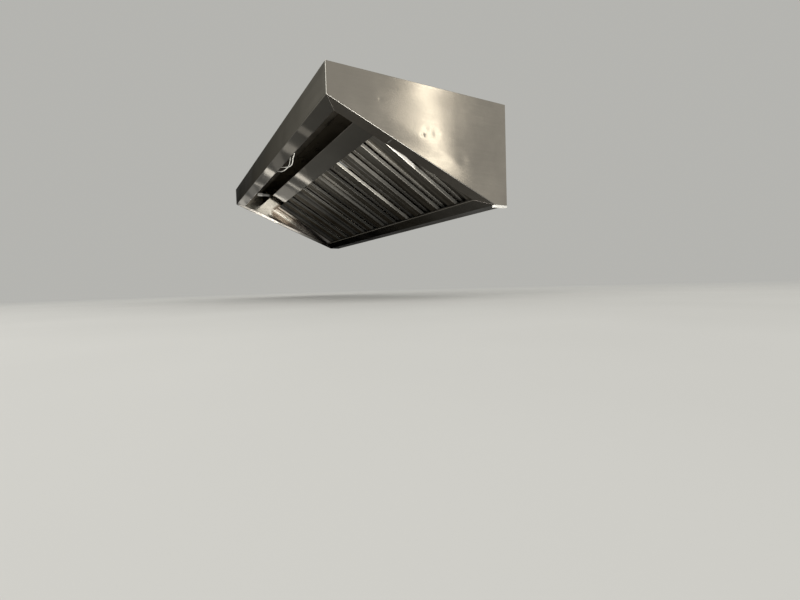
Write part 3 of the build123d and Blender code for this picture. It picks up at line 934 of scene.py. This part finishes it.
class HOOD_OT_skins(Operator):
    """Puts a wavy, dented sheet on the end panels and the fascia, as thin steel really lies"""

    bl_idname = "hood.skins"
    bl_label = "Sheet skins"

    def execute(self, context):
        bulge = context.scene.hood_sizes.skin_bulge
        # A skin starts this far inside the panel's edge, and stands out by the foot at its border
        inset, foot = 0.003, 0.0001
        self.ends(bulge, inset, foot)
        self.fascia(bulge, inset, foot)
        return {"FINISHED"}

    def ends(self, bulge, inset, foot):
        """The end panels' skins, with Y along the columns and the share of the height along the rows.

        They stand out by a smooth rise from the border, times slow cosine waves, less round dents.
        """
        kink = BACK_Y - GUTTER
        slope_y, level_y = np.linspace(FRONT_Y + inset, kink, 150), np.linspace(kink, BACK_Y - inset, 16)
        y = np.concatenate([slope_y, level_y[1:]])
        slope = -LIP - (y - FRONT_Y) * math.tan(RIM_ANGLE)
        low = np.maximum(slope, -BACK) + inset
        share = np.linspace(0, 1, 84)[:, None]
        z = low[None] + share * (-inset - low[None])
        yy = np.broadcast_to(y[None], z.shape)
        border = np.minimum.reduce([-z, z - slope[None], yy - FRONT_Y, BACK_Y - yy, z + BACK])
        rise = smooth_rise(border, 0.07)
        waves = (
            1.0
            + 0.45 * np.cos(9.0 * yy + 4.0 * z + 0.6)
            + 0.35 * np.cos(5.0 * yy - 17.0 * z + 1.9)
            + 0.18 * np.cos(26.0 * yy + 11.0 * z)
        )
        # Columns: Y, Z, radius, depth
        near_dents = [
            (-0.179, -0.082, 0.006, 0.0005),
            (-0.019, -0.172, 0.007, 0.0006),
            (-0.006, -0.150, 0.012, 0.0003),
            (0.033, -0.160, 0.014, 0.0005),
            (0.150, -0.240, 0.022, 0.0007),
        ]
        far_dents = [(-0.120, -0.110, 0.014, 0.0007), (0.170, -0.150, 0.026, 0.0008)]
        material = bpy.data.materials["end_steel"]
        for end, way, dents in (("near", 1, near_dents), ("far", -1, far_dents)):
            height = foot + rise * bulge * waves
            for dent_y, dent_z, radius, depth in dents:
                away = ((yy - dent_y) ** 2 + (z - dent_z) ** 2) / radius**2
                height = height - depth * np.exp(-away) * rise
            front = np.stack([way * (HALF_LENGTH + np.maximum(height, foot * 0.5)), yy, z], axis=-1)
            skin(f"end_skin_{end}", front, (0, way), way * (HALF_LENGTH - 0.0005), material, "housing")

    def fascia(self, bulge, inset, foot):
        """The fascia's skin, with X along the columns and Z along the rows.

        It stands out by a smooth rise from the border, times long cosine waves along the hood.
        """
        x = np.linspace(-HALF_LENGTH + 0.005, HALF_LENGTH - 0.005, 260)
        z = np.linspace(-LIP + 0.0055, -inset, 20)
        x, z = np.meshgrid(x, z)
        border = np.minimum.reduce([-z, z + LIP, HALF_LENGTH - np.abs(x)])
        waves = (
            1.0
            + 0.5 * np.cos(7.3 * x + 0.4)
            + 0.35 * np.cos(17.0 * x + 9.0 * z)
            + 0.12 * np.cos(41.0 * x)
        )
        height = foot + smooth_rise(border - inset, 0.03) * bulge * 0.55 * waves
        front = np.stack([x, FRONT_Y - height, z], axis=-1)
        material = bpy.data.materials["housing_steel"]
        skin("fascia_skin", front, (1, -1), FRONT_Y + 0.0005, material, "housing")


class HOOD_OT_spot_welds(Operator):
    """Presses rows of spot welds into the back panel"""

    bl_idname = "hood.spot_welds"
    bl_label = "Spot welds"

    def execute(self, context):
        weld = weld_metal("spot_weld", (0.3, 0.28, 0.25), 0.4)
        ring = [(0.0042, 0.0), (0.0038, 0.0002), (0.003, 0.00022), (0.0024, 0.00008), (0, 0.00006)]
        axes = (-1, 0, 0), (0, 0, 1), (0, 1, 0)
        # Points along the bottom edge and up both ends, as X, Y and Z
        bottom = [(x, BACK_Y, -0.372) for x in np.linspace(-0.87, 0.87, 30)]
        ends = [(side, BACK_Y, z) for side in (-0.889, 0.889) for z in np.linspace(-0.03, -0.33, 6)]
        turned_heads("spot_welds_back", bottom + ends, axes, ring, 14, weld)
        return {"FINISHED"}


class HOOD_OT_collar(Operator):
    """Finishes the duct collar with a rolled bead, a lap seam and a ring of rivets"""

    bl_idname = "hood.collar"
    bl_label = "Duct collar"

    def execute(self, context):
        zinc = bpy.data.materials["collar_steel"]
        self.rings(zinc)
        self.seam(zinc)
        # Rivets through the collar's flange
        rivet = weld_metal("rivet_metal", (0.55, 0.55, 0.56), 0.32)
        angle = np.linspace(0, 2 * np.pi, 12, endpoint=False) + math.radians(15)
        x, y = np.cos(angle) * RIVET_CIRCLE, np.sin(angle) * RIVET_CIRCLE + DUCT_Y
        places = np.column_stack([x, y, np.full(len(angle), 0.0014)])
        head = [(0.0034, 0), (0.0034, 0.0004), (0.0029, 0.0011), (0.0018, 0.0016), (0, 0.0018)]
        turned_heads("collar_rivets", places, np.eye(3), head, 16, rivet)
        return {"FINISHED"}

    def rings(self, material):
        """The rolled bead and the rounded rim: an ellipse carried round the collar, at one height."""
        steps, round_steps = 120, 12
        turn = np.linspace(0, 2 * np.pi, steps, endpoint=False)
        out = np.stack([np.cos(turn), np.sin(turn), np.zeros(steps)], axis=-1)
        round_ = np.linspace(0, 2 * np.pi, round_steps, endpoint=False)
        up = np.array([0, 0, 1.0])
        for name, level, reach in (("collar_bead", 0.043, 0.0022), ("collar_edge", 0.0583, 0.0012)):
            ring = out * DUCT_RADIUS + (0, DUCT_Y, level)
            profile = np.stack([np.cos(round_) * reach, np.sin(round_) * reach * 0.8], axis=-1)
            points = ring[:, None] + profile[None, :, :1] * out[:, None] + profile[None, :, 1:] * up
            # Both ways round, the last point of the grid joins the first
            index = np.arange(steps * round_steps).reshape(steps, round_steps)
            after = np.roll(index, -1, axis=0)
            corners = [index, after, np.roll(after, -1, axis=1), np.roll(index, -1, axis=1)]
            faces = np.stack(corners, axis=-1).reshape(-1, 4).tolist()
            mesh_object(name, points.reshape(-1, 3), faces, material)

    def seam(self, material):
        """The lap seam: a flat strip that follows the collar's outside, 8 mm wide, from foot to top."""
        rows, columns = 12, 7
        angle = np.linspace(-0.032, 0.032, columns) + math.radians(200)
        # Its outside stands proud of the collar, apart from the first and the last column
        proud = np.full(columns, 0.0009)
        proud[[0, -1]] = 0
        radius = np.concatenate([DUCT_RADIUS + 0.0002 + proud, np.full(columns, DUCT_RADIUS - 0.0004)])
        angle = np.concatenate([angle, angle[::-1]])
        level = np.linspace(0.002, 0.0575, rows)[:, None]
        x, y, z = np.broadcast_arrays(np.cos(angle) * radius, np.sin(angle) * radius + DUCT_Y, level)
        points = np.stack([x, y, z], axis=-1)
        mesh_object("collar_seam", points.reshape(-1, 3), tube_faces(rows, 2 * columns), material)


class HOOD_OT_gland(Operator):
    """Cuts grip ribs round the lamp gland's cap"""

    bl_idname = "hood.gland"
    bl_label = "Lamp gland"

    def execute(self, context):
        low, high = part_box("lamp_gland")
        centre_x, centre_z = (low.x + high.x) / 2, (low.z + high.z) / 2
        radius, ribs = (high.x - low.x) / 2, 14
        # Radius of a point: the cap's, plus a rib's half cosine, faded out towards both ends
        along = np.array([0.003, 0.0045, 0.006, 0.018, 0.030, 0.0315, 0.033])
        fade = np.array([0, 0.4, 1, 1, 1, 0.4, 0])
        turn = np.linspace(0, 2 * np.pi, ribs * 8, endpoint=False)
        rib = np.clip(np.cos(turn * ribs) + 0.25, 0, 1)
        reach = radius + 0.0001 + 0.0008 * fade[:, None] * rib[None]
        y = np.broadcast_to((low.y + along)[:, None], reach.shape)
        points = np.stack([centre_x + reach * np.cos(turn), y, centre_z + reach * np.sin(turn)], axis=-1)
        # The rings turn from X to Z, against the way they are stacked along Y, so the faces are flipped
        faces = [face[::-1] for face in tube_faces(len(along), len(turn))]
        plastic = bpy.data.materials["gland_plastic"]
        mesh_object("gland_ribs", points.reshape(-1, 3), faces, plastic)
        return {"FINISHED"}


OPERATORS = [
    HOOD_OT_stage,
    HOOD_OT_leads,
    HOOD_OT_housing,
    HOOD_OT_filters,
    HOOD_OT_welds,
    HOOD_OT_skins,
    HOOD_OT_spot_welds,
    HOOD_OT_collar,
    HOOD_OT_gland,
]


class HOOD_PT_panel(Panel):
    """Lists the hood's pieces"""

    bl_idname = "HOOD_PT_panel"
    bl_label = "Exhaust hood"
    bl_space_type = "VIEW_3D"
    bl_region_type = "UI"
    bl_category = "Hood"

    def draw(self, context):
        for operator in OPERATORS:
            self.layout.operator(operator.bl_idname)
        for group in (context.scene.hood_stage, context.scene.hood_finish, context.scene.hood_sizes):
            box = self.layout.box()
            for name in group.__annotations__:
                box.prop(group, name)


GROUPS = [("hood_stage", HoodStage), ("hood_finish", HoodFinish), ("hood_sizes", HoodSizes)]


def register():
    for cls in [group for _, group in GROUPS] + OPERATORS + [HOOD_PT_panel]:
        bpy.utils.register_class(cls)
    for name, group in GROUPS:
        setattr(bpy.types.Scene, name, PointerProperty(type=group))


def unregister():
    for name, _ in GROUPS:
        delattr(bpy.types.Scene, name)
    for cls in [HOOD_PT_panel] + OPERATORS[::-1] + [group for _, group in GROUPS[::-1]]:
        bpy.utils.unregister_class(cls)


def main():
    register()
    for operator in OPERATORS:
        group, name = operator.bl_idname.split(".")
        getattr(getattr(bpy.ops, group), name)()


if __name__ == "__main__":
    main()
